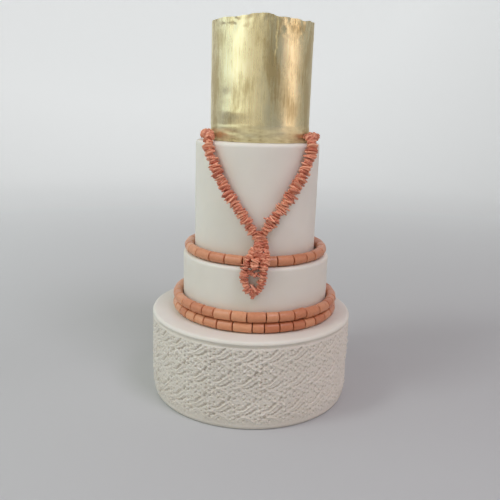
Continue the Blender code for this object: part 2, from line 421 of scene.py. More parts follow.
def coralMaterial(name, look):  # each bead or chip has its own tint
    material, tree, shader = startMaterial(name, 0.4)
    veins = noiseOf(tree, *look["veins"])
    mix = timesPlus(tree, veins, veinLook["share"], attributeOf(tree, "tint"))
    colour = rampOf(tree, mix, veinLook["places"], look["dark"], look["light"])
    tree.links.new(colour, shader.inputs["Base Color"])
    tree.links.new(rangeOf(tree, veins, *usualNoise, *look["roughness"]), shader.inputs["Roughness"])
    bumpOf(tree, shader, veins, *veinLook["bump"])
    return material


fondant = fondantMaterial("white fondant", fondantLook)
# fondant with painted shade in the hollows, for the embossed sheet
hollowShadedFondant = fondantMaterial("printed fondant", fondantLook, hollowShaded=True)
gold = goldMaterial("brushed edible gold", goldLook)
coralBead = coralMaterial("coral tube beads", coralBeadLook)
coralChip = coralMaterial("coral chips", coralChipLook)
print("materials made")


# smooth fondant tiers

drumLook = {
    "around": 192,
    "shoulder": (4.2 * mm, 8),  # a bevel's width and steps
    "foot": (1.2 * mm, 3),
    "rowStep": 6 * mm,
    "topRings": 3,
    "ringWidth": 0.22,  # part of the radius
    "uneven": 0.35 * mm,
    "waves": (22, 26),  # how fast the unevenness changes across and up
    "ripples": (70, 90),
    "rippleShare": 0.3,
    "inwards": 0.5,
}


def roundOf(node):
    low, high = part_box(node)
    return {"x": (low.x + high.x) / 2, "radius": (high.y - low.y) / 2, "low": low.z, "high": high.z}


def ringEdge(height):
    return lambda a, b: abs(a.z - height) < tiny and abs(b.z - height) < tiny


def addRows(piece, low, high, step):
    count = round((high - low) / step)
    for row in range(1, count):
        cutAcross(piece, low + (high - low) * row / count)
    objectMode()


def ringTop(piece, height, rings, width):  # rings on a flat top, and a middle point
    def inMiddle(centre, normal):
        return centre.z > height - tiny and normal.z > 0.99 and abs(centre.y) < tiny
    for _ in range(rings):
        pick(piece, "FACE", inMiddle)
        bpy.ops.mesh.inset(thickness=width)
    pick(piece, "FACE", inMiddle)
    bpy.ops.mesh.poke()
    objectMode()


def unevenDrum(piece, x, look, seed):  # as a surface smoothed by hand
    for point in piece.data.vertices:
        out = Vector((point.co.x - x, point.co.y, 0))
        wave = noiseAt(out, point.co.z, *look["waves"], seed)
        ripple = noiseAt(out, point.co.z, *look["ripples"], -seed)
        if out.length > tiny:
            move = wave + look["rippleShare"] * ripple - look["inwards"]
            point.co += out.normalized() * look["uneven"] * move


def fondantDrum(name, node, look, seed):
    size = roundOf(node)
    low, high = size["low"], size["high"]
    drum = addCylinder(name, look["around"], size["radius"], low, high, size["x"])
    bevelEdges(drum, ringEdge(high), *look["shoulder"])
    bevelEdges(drum, ringEdge(low), *look["foot"])
    addRows(drum, low + look["foot"][0], high - look["shoulder"][0], look["rowStep"])
    ringTop(drum, high, look["topRings"], size["radius"] * look["ringWidth"])
    unevenDrum(drum, size["x"], look, seed)
    finish(drum, [node], fondant)


fondantDrum("tier_2_fondant", "tier_2", drumLook, 3.1)
fondantDrum("tier_3_fondant", "tier_3", drumLook, 7.7)
print("smooth tiers made")


# lowest tier: a body with a rim, and three panels of embossed lace

laceBodyLook = {
    "around": 240,
    "core": 123.4 * mm,
    "rimUnder": 103.0 * mm,
    "rimRound": (3.9 * mm, 8),
    "rimLowerRound": (1.6 * mm, 3),
    "topRings": 4,
    "ringWidth": 0.18,  # part of the radius
    "uneven": 0.35 * mm,
    "inwards": 0.4,
    "waves": (25, 0, 1.3),
}


def laceTierBody(look):
    size = roundOf("tier_1_lace")
    under = look["rimUnder"]
    body = addCylinder("tier_1_body", look["around"], look["core"], 0, under)
    pick(body, "FACE", lambda centre, normal: normal.z > 0.99)
    extrudeUp(0)
    widen(size["radius"] / look["core"])
    extrudeUp(size["high"] - under)
    objectMode()

    def onRim(height):
        return lambda a, b: ringEdge(height)(a, b) and Vector((a.x, a.y)).length > look["core"] + mm
    bevelEdges(body, onRim(size["high"]), *look["rimRound"])
    bevelEdges(body, onRim(under), *look["rimLowerRound"])
    ringTop(body, size["high"], look["topRings"], size["radius"] * look["ringWidth"])
    for point in body.data.vertices:
        out = Vector((point.co.x, point.co.y, 0))
        if out.length > look["core"] + 0.5 * mm:
            wave = noiseAt(out, point.co.z, *look["waves"])
            point.co += out.normalized() * look["uneven"] * (wave - look["inwards"])
    finish(body, ["tier_1_lace"], fondant)


laceLook = {
    "columns": 27,
    "panels": 3,
    "repeatTall": 32.3 * mm,
    "pearlLine": 19.3 * mm,  # height of the lowest row of pearls
    "dottedLine": -15.7 * mm,  # from the front's middle to the nearest dotted line
    "wall": 125.0 * mm,
    "plateau": 1.4 * mm,
    "press": 0.94,  # how much of the grooves' depth the print takes
    "low": 0.9 * mm,
    "high": 102.7 * mm,
    "step": 0.54 * mm,
    "depth": 1.6 * mm,  # of a panel, behind its face
    "soften": 1,
    "net": 0.16 * mm,
    "netAcross": 7,  # threads to a column
    "netUp": 1.5,
    "strength": (0.85, 0.45),  # usual, and how much it wanders
    "strengthWaves": (1.9, 34),
    "dips": 0.22 * mm,
    "dipWaves": (13, 300),
    "tuck": 1.2 * mm,  # how far the foot is drawn in, below this height
    "tuckReach": 4 * mm,
    "faint": 0.12,  # strength at the foot, growing between these heights
    "faintFade": (4 * mm, 15 * mm),
    "rimFade": (98 * mm, 100.5 * mm),
    "hollowReach": 14,  # rounds of smoothing that find the hollows, for the painted shade
    "hollowFull": 0.7 * mm,
}

# one repeat of the print, in mm from the dotted line and the lowest pearls' height:
# a motif's one end (across, up), its other end (across, up), its width, then its depth or height
laceGrooves = (
    # along the long leaf's upper side, then its lower side
    (4.6, 5.1, 10.8, 5.3, 2.5, 1.2), (9.8, 5.2, 14.8, 8.2, 2.8, 1.5), (13.8, 7.4, 16.2, 11.2, 3.1, 1.95),
    (15.2, 10.4, 20.6, 14.3, 3.4, 2), (14.2, -0.5, 18.8, 1.3, 2.6, 1.65), (18, 1.3, 22.8, 2.9, 3, 1.95),
    (21.6, 2.4, 23.8, 5.2, 2.5, 1.5), (22.6, 4.6, 27, 6.8, 3, 1.95), (26.5, 5.4, 26.9, 8.8, 2.2, 1.5),
    # around the flower
    (5.4, -4.9, 9, -1.8, 3.6, 2), (2.2, -5.2, 6.2, -4.8, 1.9, 1.05), (11.9, -6.4, 14, -8.8, 3.5, 1.5),
    (0.8, -8.8, 3.2, -6.4, 2.2, 1.35), (0.4, -15, 4, -12, 2.5, 1.5), (11.2, -15, 13.8, -12.9, 2.1, 1.2),
    (17.9, -13.5, 20.3, -13.1, 3, 1.2), (20.3, -1.7, 21.1, -3.9, 2.4, 1.05),
    (24.4, -6.4, 27.4, -4.4, 3, 1.35), (6.6, -9.4, 7.2, -12, 1.9, 0.9), (7, -12, 9.6, -13.5, 1.8, 0.75),
    (14.9, -10.4, 16.8, -9, 2.2, 0.9), (15.6, -9, 18.8, -8.4, 1.5, 0.75), (10, -11.2, 10.8, -9.2, 1.5, 0.75),
    (23.6, -17.2, 25, -13.8, 3.4, 1.95), (24.4, -14.8, 27.4, -10.6, 3.4, 2),
    # small pits
    (5.6, 11.1, 9.4, 11.8, 2.5, 1.5), (1.2, 6.8, 3.5, 8.9, 2.5, 1.35), (25.6, -1.2, 27.2, 0.8, 1.9, 1.05),
    (1.2, 1.2, 3.4, 2.9, 1.8, 1.05), (1.9, -2.3, 3.4, -3.5, 1.8, 1.05), (10.2, 0.1, 14.4, -0.5, 1.8, 1.05),
    (6.5, 7.8, 7.1, 9.8, 1.4, 0.75), (-1.4, 16.8, -0.2, 14.4, 1.9, 0.75), (-4.4, 13.2, -2, 11.4, 1.8, 0.75),
    (17.8, 8, 19.2, 7, 1.1, 0.52), (16.2, 4.6, 18, 4, 1.1, 0.52), (21, 9.2, 23, 9.8, 1.2, 0.52),
)
laceRidges = (
    # pearls on the dotted line, and a small leaf beside them
    (-0.9, 4.4, 2.1, 4.4, 3.7, 1.5), (0.5, 9.6, 0.5, 13.2, 3.1, 1.35), (0.6, -6.8, 0.6, -3.8, 3, 1.2),
    (0.3, -12.2, 0.3, -9.4, 2.8, 1.2), (0.1, -1.6, 0.9, -0.4, 2, 0.6), (0.8, -0.9, 8.4, 1.6, 3.3, 1.05),
    (4.8, 0.2, 7.6, 2, 2.9, 1.2),
    # the long leaf's edges
    (9.4, 2.4, 16, 6.6, 1.9, 0.75), (15, 6.2, 21.6, 11.4, 1.9, 0.75), (21.4, 11, 23.4, 13.6, 2.9, 0.9),
    (13.2, 1.4, 19.2, 4, 1.8, 0.6), (18.6, 4, 23.4, 7.6, 1.9, 0.6), (24.4, 8.4, 25.2, 11.2, 2.2, 0.9),
    # petals and the flower's outer rim
    (4, -10.2, 6, -7.2, 2, 0.9), (7.8, -9.8, 10, -7.6, 2, 0.75), (11.4, -12.6, 13.8, -10, 2.5, 1.2),
    (9.8, -3.6, 14.6, -2.9, 2.2, 0.9), (14.4, -2.9, 20.6, -5.4, 2.2, 0.68),
    (20.2, -6.2, 24.6, -8.8, 2.4, 0.75), (23.6, -7.8, 25, -10.2, 2.6, 1.05),
    (20.8, -15.6, 23.8, -10.6, 2, 0.75), (14.2, -14.6, 20.8, -16.8, 2.4, 0.9),
    # scattered buds
    (11.2, 9.8, 12.8, 12.2, 2.5, 1.2), (3, 12.6, 5.6, 13.6, 2.1, 0.6), (8, 8.2, 9.8, 8.6, 2, 0.6),
    (4.4, 6.2, 5.6, 8, 1.8, 0.6), (23.6, 1.4, 26.4, 3, 2.2, 0.6), (24, -2.8, 25.8, -2.3, 1.9, 0.6),
    (3.4, -15.4, 6.2, -14.4, 2.2, 0.45),
)

# from a motif's foot inwards: scale, height
motifRings = ((1.0, 0.0), (0.82, 0.6), (0.55, 0.93), (0.2, 1.0))


def modelMotif():
    bpy.ops.mesh.primitive_circle_add(vertices=20, radius=0.5, fill_type="NGON")
    motif = bpy.context.object
    pick(motif, "FACE", anyFace)
    for (before, low), (scale, high) in zip(motifRings, motifRings[1:]):
        extrudeUp(high - low)
        widen(scale / before)
    objectMode()
    return motif


def laceStamp(look, motifs):
    # one repeat of lace as raised shapes on the flat, then a panel's repeats
    wide = tau * look["wall"] / look["columns"]
    shape, placed = modelMotif(), []
    for startX, startY, endX, endY, across, tall in motifs:
        start, end = Vector((startX, startY)), Vector((endX, endY))
        one = copyOf(shape, "motif")
        one.location = (*((start + end) / 2 * mm), 0)
        one.rotation_euler = (0, 0, atan2(end.y - start.y, end.x - start.x))
        one.scale = ((end - start).length * mm, across * mm, tall * mm)
        placed.append(one)
    scrap(shape)
    cell = joinAll(placed, "lace_cell")
    panelColumns = look["columns"] // look["panels"]
    rows = ceil((look["high"] - look["pearlLine"]) / look["repeatTall"]) + 2
    for count, step in ((panelColumns + 2, (wide, 0, 0)), (rows, (0, look["repeatTall"], 0))):
        array = cell.modifiers.new("array", "ARRAY")
        array.count = count
        array.use_relative_offset = False
        array.use_constant_offset = True
        array.constant_offset_displace = step
    applyModifiers(cell)
    cell.location = (look["dottedLine"] - wide * (panelColumns // 2 + 1),
                     look["pearlLine"] - look["repeatTall"], 0)
    bpy.ops.mesh.primitive_plane_add(size=1)
    ground = bpy.context.object
    return joinAll([cell, ground], "lace_stamp"), wide * panelColumns


def stampedSheet(look, motifs):
    # a fine grid dropped on the stamp takes its relief
    stamp, wide = laceStamp(look, motifs)
    tall = look["high"] - look["low"]
    across, up = round(wide / look["step"]), round(tall / look["step"])
    bpy.ops.mesh.primitive_grid_add(x_subdivisions=across, y_subdivisions=up, size=1,
                                    location=(0, look["low"] + tall / 2, 5 * mm))
    sheet = bpy.context.object
    sheet.scale = (wide, tall, 1)
    applyPlace(sheet)
    press = sheet.modifiers.new("press", "SHRINKWRAP")
    press.target = stamp
    press.wrap_method = "PROJECT"
    press.use_project_z = True
    press.use_positive_direction = False
    press.use_negative_direction = True
    applyModifiers(sheet)
    scrap(stamp)
    return sheet


def addSmoothing(sheet, rounds):
    soften = sheet.modifiers.new("soften", "SMOOTH")
    soften.factor = 0.5
    soften.iterations = rounds
    return soften


def embossedSheet(look):
    # a plateau with the ridges standing on it and the grooves pressed into it
    sheet, pressed = stampedSheet(look, laceRidges), stampedSheet(look, laceGrooves)
    for point, deep in zip(sheet.data.vertices, pressed.data.vertices):
        point.co.z += look["plateau"] - look["press"] * deep.co.z
    scrap(pressed)
    soften = addSmoothing(sheet, look["soften"])
    soften.use_x = soften.use_y = False
    applyModifiers(sheet)
    markHollowShade(sheet, look)
    return sheet


def markHollowShade(sheet, look):
    # keeps how far each point lies below the smoothed surface, for the painted shade in the hollows
    calm = copyOf(sheet, "calm")
    addSmoothing(calm, look["hollowReach"])
    applyModifiers(calm)
    depths = [clamp((smooth.co.z - point.co.z) / look["hollowFull"]) * fadeOf(point.co.y, look)
              for smooth, point in zip(calm.data.vertices, sheet.data.vertices)]
    scrap(calm)
    keepValues(sheet, "hollowShade", depths)


def fadeOf(height, look):  # the print is faint at the foot and stops short of the rim
    atFoot = look["faint"] + (1 - look["faint"]) * ease(height, *look["faintFade"])
    return atFoot * (1 - ease(height, *look["rimFade"]))


def bendRound(sheet, look):
    # wraps the flat sheet on the wall
    usual, wander = look["strength"]
    for point in sheet.data.vertices:
        along, height, relief = point.co
        fade = fadeOf(height, look)
        angle = along / look["wall"]
        turn = angle * look["panels"]  # so that the panels meet
        ring = Vector((cos(turn), sin(turn), 0))
        strength = usual + wander * noiseAt(ring, height, *look["strengthWaves"])
        dip = look["dips"] * noiseAt(ring, height, *look["dipWaves"])
        net = sin(angle * look["columns"] * look["netAcross"]) * sin(height / mm * look["netUp"])
        tuck = look["tuck"] * (1 - ease(height, 0, look["tuckReach"]))
        radius = look["wall"] + (relief * strength + dip + look["net"] * net) * fade - tuck
        point.co = aroundAxis(radius, degrees(angle), height)


def closeBack(sheet, look):
    # draws the sheet's edges in and bridges them behind, for a closed slab
    inner = look["wall"] - look["depth"]
    edgeAngle = 180 / look["panels"] - 0.01
    pick(sheet, "FACE", anyFace)
    bpy.ops.mesh.select_mode(type="EDGE")
    bpy.ops.mesh.region_to_loop()
    bpy.ops.mesh.extrude_edges_move()
    objectMode()
    for point in sheet.data.vertices:
        if point.select:
            point.co = aroundAxis(inner, angleOf(point.co), point.co.z)

    def onBack(point):
        return Vector((point.x, point.y)).length < inner + tiny
    pick(sheet, "VERT", lambda point: onBack(point) and abs(angleOf(point)) > edgeAngle
         and look["low"] + tiny < point.z < look["high"] - tiny)
    bpy.ops.mesh.dissolve_verts()
    pick(sheet, "EDGE", lambda a, b: onBack(a) and onBack(b) and abs(a.z - b.z) < tiny)
    bpy.ops.mesh.bridge_edge_loops()
    objectMode()


def lacePanels(look):
    sheet = embossedSheet(look)
    bendRound(sheet, look)
    closeBack(sheet, look)
    for turn, name in ((0, "front"), (120, "right"), (-120, "left")):
        panel = copyOf(sheet, "tier_1_lace_" + name)
        panel.rotation_euler = (0, 0, radians(turn))
        applyPlace(panel)
        faceOutwards(panel)
        finish(panel, ["tier_1_lace"], hollowShadedFondant, 60)
    scrap(sheet)


laceTierBody(laceBodyLook)
lacePanels(laceLook)
print("lace tier made")


# gold tier

goldTierLook = {
    "x": 4.0 * mm,
    "radius": 59.9 * mm,
    "tall": 133.0 * mm,
    "around": 420,
    "rowStep": 1.5 * mm,
    # rings of the top, from the wrap's lip inwards: width and rise, in mm
    "topRings": ((1.4, -0.8), (1.5, 0.2), (4, 0.5), (14, 1.2), (20, 0.8)),
    "inwards": 0.25 * mm,
    # waves, hammering and streaks, then crinkles over the foot and crumples under the lip:
    # depth, how fast they change across and up, and a shift
    "uneven": ((0.35 * mm, 26, 9, 0), (0.16 * mm, 95, 42, 2), (0.02 * mm, 620, 30, 0)),
    "crinkle": (0.6 * mm, 0.06, 0.23, 3),
    "crinkleFrom": 3 * mm,
    "crinkleFade": (8 * mm, 34 * mm),
    "crumple": (0.75 * mm, 0.17, 0.26, 8),
    "crumpleFrom": (0.87, 0.97),  # parts of the height, and how much lower right of these angles
    "lower": 0.1,
    "lowerFrom": (5, 25),
    "overlapAngle": 15.0,  # where the wrap laps, and its fading, in degrees
    "overlap": 0.9 * mm,
    "overlapFade": 14,
    "overlapWide": 60,
    # swells and dents: angle, height, half sizes in degrees and mm, depth in mm
    "swells": ((-28, 32, 19, 6.5, 0.75), (-33, 123, 5, 6, -1.1), (-46, 70, 10, 26, 0.4),
               (-40, 52, 9, 7, -0.3), (-12, 92, 8, 22, -0.35), (-26, 16, 14, 3.2, 0.25),
               (-38, 8, 16, 2.6, 0.2), (24, 20, 10, 5, 0.3), (4, 60, 9, 30, -0.4)),
    # places of painted shade, darker and browner gold at the tier's sides and by the lap, where the foil is
    # also browner: angle, height, half sizes in degrees and mm, how much
    "paintedShadePlaces": ((12, 88, 8, 40, 0.75), (74, 70, 19, 90, 1.0), (-66, 76, 13, 60, 0.75),
                   (4, 112, 9, 16, 0.3), (42, 126, 16, 7, 0.7)),
    "tears": ((0.5, 0.2, 4.2), (0.35, 0.7, 1.7)),  # height in mm, how fast, and a shift
    "lipFrom": 0.9,  # part of the height
    "lipReach": (7 * mm, 2 * mm),  # inside the wall, from none of the lip's rise to all
    # the lip's height over the top, in mm, at angles from the front
    "lip": ((-180, 3.0), (-150, 0.8), (-125, 0.2), (-100, 1.8), (-75, 0.7), (-58, 0.5), (-46, 1.4),
            (-36, 0.6), (-26, 0.6), (-17.5, 1.5), (-9, 3.2), (-4, 3.6), (0, 4.0), (7, 3.9), (10, 2.9),
            (14, 1.4), (18, 0.7), (24, 1.0), (31, 0.4), (39, 0.7), (50, -0.3), (61, 1.2), (69, 1.3),
            (88, 2.4), (105, 2.4), (130, 1.0), (155, 2.4), (180, 3.0)),
}


def lipHeight(angle, look):
    for (before, low), (after, high) in zip(look["lip"], look["lip"][1:]):
        if before <= angle <= after:
            rise = low + (high - low) * ease(angle, before, after)
    torn = sum(tall * noise.noise(Vector((angle * often, shift, 0)))
               for tall, often, shift in look["tears"])
    return (rise + torn) * mm


def roundHill(angle, height, middle, level, wide, tall):  # 1 at its middle, fading all round
    return exp(-((angle - middle) / wide) ** 2 - ((height - level) / tall) ** 2)


def goldMove(out, angle, height, look):  # how far the wall stands out at a place
    rise = height / look["tall"]
    move = sum(deep * noiseAt(out, height, *waves) for deep, *waves in look["uneven"])
    arc = radians(angle) * look["radius"] / mm
    level, full = look["crumpleFrom"]
    fades = ((1 - ease(height, *look["crinkleFade"])) * ease(height, 0, look["crinkleFrom"]),
             ease(rise, level - look["lower"] * ease(angle, *look["lowerFrom"]), full))
    for fade, (deep, across, up, shift) in zip(fades, (look["crinkle"], look["crumple"])):
        move += deep * fade * noise.noise(Vector((arc * across, height / mm * up, shift)))
    wander = 3 * noise.noise(Vector((0, 5, height * 60))) + noise.noise(Vector((0, 9, height * 260)))
    past = (angle - look["overlapAngle"] - wander + 180) % 360 - 180
    if 0 < past < look["overlapWide"]:
        move += look["overlap"] * exp(-past / look["overlapFade"]) * ease(rise, 0.35, 1)
    for *place, deep in look["swells"]:
        move += deep * mm * roundHill(angle, height / mm, *place)
    return move - look["inwards"]


def shapeGold(piece, base, look):
    for point in piece.data.vertices:
        out = Vector((point.co.x - look["x"], point.co.y, 0))
        if out.length < tiny:
            continue
        angle, height = angleOf(out), point.co.z - base
        rise = height / look["tall"]
        near = ease(look["radius"] - out.length, *look["lipReach"])
        if out.length > look["radius"] - 0.3 * mm:
            point.co += out.normalized() * goldMove(out, angle, height, look)
        if rise > look["lipFrom"]:
            point.co.z += lipHeight(angle, look) * near * ease(rise, look["lipFrom"], 1)


# keeps the painted shade's amount at each point, for the material
def markPaintedShade(piece, base, look):
    values = []
    for point in piece.data.vertices:
        angle, height = angleOf(point.co, look["x"]), (point.co.z - base) / mm
        amount = sum(much * roundHill(angle, height, *place) for *place, much in look["paintedShadePlaces"])
        values.append(min(1.0, amount))
    keepValues(piece, "paintedShade", values)


def goldTier(look):
    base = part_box("tier_4_gold")[0].z
    top = base + look["tall"]
    tier = addCylinder("tier_4_gold_wrap", look["around"], look["radius"], base, top, look["x"])
    addRows(tier, base, top, look["rowStep"])
    pick(tier, "FACE", lambda centre, normal: normal.z > 0.99)
    for width, lift in look["topRings"]:
        insetUp(width * mm, lift * mm)
    bpy.ops.mesh.poke()
    objectMode()
    markPaintedShade(tier, base, look)
    shapeGold(tier, base, look)
    finish(tier, ["tier_4_gold"], gold, 50)


goldTier(goldTierLook)
print("gold tier made")


# strands of tube beads

beadLook = {
    "corners": 24,
    "radius": 6.1 * mm,
    "length": 17.0 * mm,
    "shortest": 13.5 * mm,
    "longest": 22.0 * mm,
    "edge": (0.9 * mm, 3),
    "gap": 0.5 * mm,
    "hole": 1.9 * mm,
    "holeDeep": 1.5 * mm,
    "middle": 0.28,  # of the length, from the middle to the outer rows
    "fat": (0.965, 1.0),
    "barrel": (0.0, 0.03),
    "lean": (-0.02, 0.02),
    "tint": (-0.05, 0.5),
    "shadeToRight": 0.22,  # painted shade: beads darker and redder towards the right
    "outwards": (-0.1, 0.2),  # mm
    "tilt": (-0.03, 0.03),
    "thread": 1.0 * mm,
    "threadTint": -0.4,
}

# where the front beads start, in degrees, their lengths in mm, and the seed
strandLooks = {
    "bead_strand_upper": (-51.8, (22.2, 19.7, 20.8, 19.2, 19.1, 19.7, 18.2), 1),
    "bead_strand_middle": (-35.5, (15.5, 21.1, 17.6, 21.5, 14.2, 18.5, 15.5), 2),
    "bead_strand_lower": (-51.5, (16.3, 13.8, 17.6, 18.5, 21.9, 13.3, 17.2, 16.3, 15.5), 3),
}

liftedBeads = {("bead_strand_middle", 6): (0.8 * mm, 0.1)}  # lift, and rise along the bead


def modelBead(look):
    end = look["length"] / 2
    bead = addCylinder("bead", look["corners"], look["radius"], -end, end)

    def atEnds(a, b):
        return ringEdge(-end)(a, b) or ringEdge(end)(a, b)
    bevelEdges(bead, atEnds, *look["edge"])
    for direction in (-1, 1):  # the drilled hole at each end
        pick(bead, "FACE", lambda centre, normal: direction * normal.z > 0.99)
        bpy.ops.mesh.inset(thickness=look["radius"] - look["edge"][0] - look["hole"])
        extrudeUp(-direction * look["holeDeep"])
    for height in (-look["middle"], 0, look["middle"]):
        cutAcross(bead, height * look["length"])
    faceOutwards(bead)
    return bead


def setTint(piece, value):
    keepValues(piece, "tint", [value] * len(piece.data.vertices))


def shapeBead(bead, length, look, rng):
    stretch = (length - look["gap"] - look["length"]) / 2
    fat, barrel, lean = (rng.uniform(*look[name]) for name in ("fat", "barrel", "lean"))
    for point in bead.data.vertices:
        along = point.co.z / look["length"] * 2
        scale = fat * (1 - barrel * along * along + lean * along)
        point.co.x *= scale
        point.co.y *= scale
        point.co.z += stretch * copysign(1, point.co.z) * min(1.0, abs(along) / (2 * look["middle"]))


def beadStrand(node, bead, look):
    low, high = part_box(node)
    radius = (high.y - low.y) / 2 - look["radius"]
    x, height = (low.x + high.x) / 2, (low.z + high.z) / 2
    start, front, seed = strandLooks[node]
    rng = random.Random(seed)
    left = tau * radius - sum(front) * mm
    count = round(left / ((look["shortest"] + look["longest"]) / 2))
    rest = [rng.uniform(look["shortest"], look["longest"]) for _ in range(count)]
    lengths = [length * mm for length in front] + [length * left / sum(rest) for length in rest]
    placed, angle = [], start
    for number, length in enumerate(lengths):
        step = degrees(length / radius)
        lift, rise = liftedBeads.get((node, number), (0, 0))
        one = copyOf(bead, "bead")
        shapeBead(one, length, look, rng)
        # painted shade: a lower tint towards the right
        setTint(one, rng.uniform(*look["tint"]) - look["shadeToRight"] * sin(radians(angle)))
        middle = angle + step / 2
        one.location = aroundAxis(radius + rng.uniform(*look["outwards"]) * mm, middle, height + lift, x)
        along = Vector((cos(radians(middle)), sin(radians(middle)),
                        rise + rng.uniform(*look["tilt"])))
        one.rotation_euler = along.to_track_quat("Z", "Y").to_euler()
        placed.append(one)
        angle += step
    bpy.ops.mesh.primitive_torus_add(major_radius=radius, minor_radius=look["thread"], major_segments=120,
                                     minor_segments=8, location=(x, 0, height))
    thread = bpy.context.object
    setTint(thread, look["threadTint"])
    strand = joinAll(placed + [thread], node + "_beads")
    finish(strand, [node], coralBead, 45)


oneBead = modelBead(beadLook)
for strandNode in strandLooks:
    beadStrand(strandNode, oneBead, beadLook)
scrap(oneBead)
print("bead strands made")


# necklace of chips, on the CAD's route: from the V's foot up over the shoulders and round the back

necklaceLook = {
    "chipHalf": 5.8 * mm,
    "slack": 0.8 * mm,
    "meetAngle": 3.6,
    "meetHeight": 217.0 * mm,
    "armSpread": 43.5,
    "armBow": 1.24,
    "armTop": 312.0 * mm,
    "shoulderTurn": 9.0,
    "shoulderReach": 12.0 * mm,
    "ledgeRadius": 60.6 * mm,
    "ledgeTurns": 3.2,  # from an arm's top to the ledge's stretch, in shoulder turns
    "pitch": 1.4 * mm,
    "tightPitch": 1.12 * mm,
    # the knot, the loop's point, a doubled stretch at the right and chips across: sideways, height in mm
    "knot": ((0, 223), (0, 215), (0, 207), (0, 199), (0, 191), (0, 183)),
    "tip": ((0, 163), (0, 157), (0, 150)),
    "doubled": ((3, 216), (7, 209), (10, 202), (12.5, 195), (12.5, 188), (9.5, 181)),
    "across": ((-6, 181), (-1, 177.5), (5, 177)),
    "loopHalf": 5.2 * mm,
    "loopHalfWidth": 10.6 * mm,
    "loopHalfHeight": 23.9 * mm,
    "loopMiddle": 179.0 * mm,
    "loopTopShift": 7.8 * mm,
    "loopTipShift": 3.0 * mm,
    "drapeTop": 216.0 * mm,
    "drapeBottom": 186.0 * mm,
    "thread": 0.8 * mm,
}

wall3, wall2 = roundOf("tier_3"), roundOf("tier_2")


def armRoute(side, wall, ledge, look):
    points = []
    for climb in (0.16, 0.3, 0.45, 0.6, 0.75, 0.9, 1.0):
        angle = look["meetAngle"] + side * look["armSpread"] * (1 - (1 - climb) ** look["armBow"])
        height = look["meetHeight"] + climb * (look["armTop"] - look["meetHeight"])
        points.append(aroundAxis(wall, angle, height, wall3["x"]))
    for turn in (30, 60, 90):
        angle = look["meetAngle"] + side * (look["armSpread"] + look["shoulderTurn"] * turn / 90)
        radius = wall - look["shoulderReach"] * (1 - cos(radians(turn)))
        height = look["armTop"] + (ledge - look["armTop"]) * sin(radians(turn))
        points.append(aroundAxis(radius, angle, height, wall3["x"]))
    return points


def vRoute(look):
    above = look["slack"] + look["chipHalf"]
    wall, ledge, radius = wall3["radius"] + above, wall3["high"] + above, look["ledgeRadius"] + above
    half = look["armSpread"] + look["ledgeTurns"] * look["shoulderTurn"]
    sweep = 360 - 2 * half
    onLedge = [aroundAxis(radius, look["meetAngle"] - half - sweep * step / 16, ledge, goldTierLook["x"])
               for step in range(17)]
    foot = aroundAxis(wall, look["meetAngle"], look["meetHeight"], wall3["x"])
    return [foot] + armRoute(-1, wall, ledge, look) + onLedge + armRoute(1, wall, ledge, look)[::-1]


def onDrape(sideways, height, half, look):
    axis = (wall2["x"] + wall3["x"]) / 2
    fall = clamp((look["drapeTop"] - height) / (look["drapeTop"] - look["drapeBottom"]))
    radius = wall3["radius"] + (wall2["radius"] - wall3["radius"]) * (1 - cos(pi * fall)) / 2
    radius += look["slack"] + half + abs(wall2["x"] - wall3["x"]) / 2
    lean = (height - look["loopMiddle"]) / (look["meetHeight"] - look["loopMiddle"])
    shift = look["loopTopShift"] - look["loopTipShift"]
    middle = look["loopTipShift"] + shift * clamp(lean)
    return aroundAxis(radius, degrees(asin((middle + sideways - axis) / radius)), height, axis)


def loopRoute(look):
    points = []
    for step in range(16):
        turn = tau * (step + 0.5) / 16
        height = look["loopMiddle"] + look["loopHalfHeight"] * sin(turn)
        points.append(onDrape(look["loopHalfWidth"] * cos(turn), height, look["loopHalf"], look))
    return points


def drapedRoute(places, half, look):
    return [onDrape(sideways * mm, height * mm, half, look) for sideways, height in places]


def guideCurve(points, closed, thickness):  # a smooth thread
    curve = bpy.data.curves.new("thread", "CURVE")
    curve.dimensions = "3D"
    curve.bevel_depth = thickness
    curve.bevel_resolution = 1
    curve.use_fill_caps = not closed
    spline = curve.splines.new("BEZIER")
    spline.bezier_points.add(len(points) - 1)
    spline.use_cyclic_u = closed
    for knot, point in zip(spline.bezier_points, points):
        knot.co = point
        knot.handle_left_type = knot.handle_right_type = "AUTO"
    thread = bpy.data.objects.new("thread", curve)
    bpy.context.scene.collection.objects.link(thread)
    return thread


def evenPlaces(points, closed, pitch):  # places and directions along the thread
    thread = guideCurve(points, closed, 0)
    line = [corner.co.copy() for corner in thread.to_mesh().vertices]
    thread.to_mesh_clear()
    scrap(thread)
    if closed:
        line.append(line[0])
    travelled = [0.0]
    for a, b in zip(line, line[1:]):
        travelled.append(travelled[-1] + (b - a).length)
    count = round(travelled[-1] / pitch)
    places, j = [], 0
    for i in range(count):
        target = travelled[-1] * (i + 0.5) / count
        while travelled[j + 1] < target:
            j += 1
        part = (target - travelled[j]) / (travelled[j + 1] - travelled[j])
        places.append((line[j].lerp(line[j + 1], part), (line[j + 1] - line[j]).normalized()))
    return places


